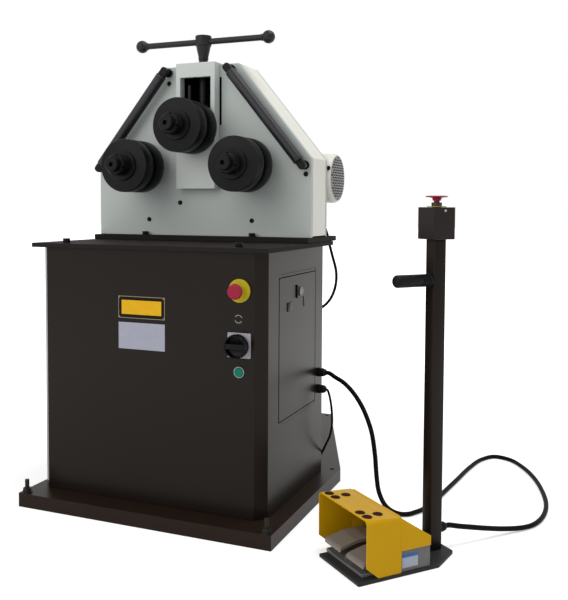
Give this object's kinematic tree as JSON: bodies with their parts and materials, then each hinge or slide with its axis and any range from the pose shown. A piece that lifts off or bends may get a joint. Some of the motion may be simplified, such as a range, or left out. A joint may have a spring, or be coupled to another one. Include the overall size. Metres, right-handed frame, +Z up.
{
  "type": "ring roller",
  "caption": "Floor-standing motor-driven ring roller: stub rolls on a grey head, feed screw with a ball-end bar, dark cabinet and a cabled pedestal foot switch.",
  "frame": {"origin": "floor level, on the middle plane between the two lower rolls, 8 mm behind the rolls' middle", "axes": "+Z up, -Y towards the operator who faces the rolls, +X to that operator's right, where the door, motor and controls are"},
  "size_m": [1.3683, 1.2546, 1.345],
  "materials": {
    "black_paint": "gloss dark brown-black paint",
    "grey_paint": "semi-gloss pale grey paint",
    "cream_paint": "semi-gloss off-white paint",
    "black_steel": "blackened turned steel",
    "machined_steel": "machined",
    "zinc_plate": "bright plated",
    "black_plastic": "moulded",
    "black_rubber": "smooth sheath",
    "grey_plastic": "moulded",
    "yellow_plastic": "moulded",
    "red_plastic": "moulded",
    "green_plastic": "moulded",
    "yellow_paint": "powder coated sheet",
    "pedal_grey": "hammered grey cast pedals and body"
  },
  "bodies": {
    "machine": {"base_tray": "black_paint", "cabinet_shell": "black_paint", "electrics_plate": "machined_steel", "estop_base": "yellow_plastic", "fan_cover": "cream_paint", "footswitch_cable": "black_rubber", "gearbox": "grey_paint", "gland_lower": "black_plastic", "gland_rear": "black_plastic", "gland_upper": "black_plastic", "head_base_plate": "black_paint", "head_cover": "cream_paint", "head_front_plate": "grey_paint", "head_rear_plate": "grey_paint", "mains_cable": "black_rubber", "mains_coil": "black_rubber", "mains_plug": "black_plastic", "motor": "cream_paint", "motor_cable": "black_rubber", "pedal_body": "pedal_grey", "pedal_guard": "yellow_paint", "pedestal_base": "black_paint", "pedestal_box": "black_paint", "pedestal_estop_base": "yellow_plastic", "pedestal_gland": "black_plastic", "pedestal_grip": "black_rubber", "pedestal_post": "black_paint", "side_bar_left": "black_steel", "side_bar_right": "black_steel", "slide_frame": "grey_paint", "start_bezel": "zinc_plate", "switch_plate": "grey_plastic", "tabletop": "black_paint"},
    "door": {"cabinet_door": "black_paint"},
    "lock": {"door_lock": "zinc_plate"},
    "stop_button": {"estop_button": "red_plastic"},
    "switch": {"switch_knob": "black_plastic"},
    "start": {"start_button": "green_plastic"},
    "top_slide": {"slide_block": "machined_steel"},
    "feed": {"feed_screw": "black_steel", "handle_bar": "black_steel"},
    "top_roll": {"roll_shaft_top": "black_steel", "roll_front_top": "black_steel", "roll_rear_top": "black_steel", "shaft_nut_top": "black_steel"},
    "left_roll": {"roll_shaft_left": "black_steel", "roll_front_left": "black_steel", "roll_rear_left": "black_steel", "shaft_nut_left": "black_steel", "gear_left": "machined_steel"},
    "right_roll": {"roll_shaft_right": "black_steel", "roll_front_right": "black_steel", "roll_rear_right": "black_steel", "shaft_nut_right": "black_steel", "gear_right": "machined_steel"},
    "pinion": {"drive_pinion": "machined_steel"},
    "fan": {"motor_fan": "black_plastic"},
    "pedestal_stop": {"pedestal_estop_button": "red_plastic"},
    "left_pedal": {"pedal_left": "pedal_grey"},
    "right_pedal": {"pedal_right": "pedal_grey"}
  },
  "joints": [
    {"name": "left_roll_turn", "type": "hinge", "parent": "machine", "child": "left_roll", "pos_m": [-0.1753, 0.02, 0.9536], "axis": [0, 1, 0], "continuous": true},
    {"name": "right_roll_turn", "type": "hinge", "parent": "machine", "child": "right_roll", "pos_m": [0.1753, 0.02, 0.9536], "axis": [0, 1, 0], "continuous": true},
    {"name": "pinion_turn", "type": "hinge", "parent": "machine", "child": "pinion", "pos_m": [0, 0.2155, 0.984], "axis": [0, 1, 0], "continuous": true},
    {"name": "fan_turn", "type": "hinge", "parent": "machine", "child": "fan", "pos_m": [0.331, 0.325, 0.921], "axis": [1, 0, 0], "continuous": true},
    {"name": "screw_turn", "type": "hinge", "parent": "top_slide", "child": "feed", "pos_m": [0, 0.132, 1.2], "axis": [0, 0, 1], "range_deg": [-1008, 3240]},
    {"name": "block_slide", "type": "slide", "parent": "machine", "child": "top_slide", "axis": [0, 0, 1], "range_m": [-0.0142, 0.0452]},
    {"name": "top_roll_turn", "type": "hinge", "parent": "top_slide", "child": "top_roll", "pos_m": [0, 0.02, 1.0656], "axis": [0, 1, 0], "continuous": true},
    {"name": "door_hinge", "type": "hinge", "parent": "machine", "child": "door", "pos_m": [0.3387, -0.099, 0.459], "axis": [0, 0, -1], "range_deg": [0, 110]},
    {"name": "lock_turn", "type": "hinge", "parent": "door", "child": "lock", "pos_m": [0.344, 0.052, 0.602], "axis": [1, 0, 0], "range_deg": [0, 90]},
    {"name": "main_switch_turn", "type": "hinge", "parent": "machine", "child": "switch", "pos_m": [0.276, -0.215, 0.4855], "axis": [0, 1, 0], "range_deg": [0, 90]},
    {"name": "stop_push", "type": "slide", "parent": "machine", "child": "stop_button", "axis": [0, 1, 0], "range_m": [0, 0.004], "stiffness_N_per_m": 600, "springref_m": -0.003},
    {"name": "start_push", "type": "slide", "parent": "machine", "child": "start", "axis": [0, 1, 0], "range_m": [0, 0.003], "stiffness_N_per_m": 600, "springref_m": -0.002},
    {"name": "pedestal_stop_push", "type": "slide", "parent": "machine", "child": "pedestal_stop", "axis": [0, 0, -1], "range_m": [0, 0.004], "stiffness_N_per_m": 800, "springref_m": -0.004},
    {"name": "left_pedal_press", "type": "hinge", "parent": "machine", "child": "left_pedal", "pos_m": [0.6655, -0.2157, 0.042], "axis": [0.7547, -0.6561, 0], "range_deg": [0, 7], "stiffness_Nm_per_rad": 5, "springref_deg": -8.59},
    {"name": "right_pedal_press", "type": "hinge", "parent": "machine", "child": "right_pedal", "pos_m": [0.6655, -0.2157, 0.042], "axis": [0.7547, -0.6561, 0], "range_deg": [0, 7], "stiffness_Nm_per_rad": 5, "springref_deg": -8.59}
  ],
  "couplings": [
    {"joint": "right_roll_turn", "follows": "left_roll_turn", "ratio": 1},
    {"joint": "pinion_turn", "follows": "left_roll_turn", "ratio": -2},
    {"joint": "fan_turn", "follows": "left_roll_turn", "ratio": 140},
    {"joint": "block_slide", "follows": "screw_turn", "m_per_rad": 0.00079577}
  ]
}
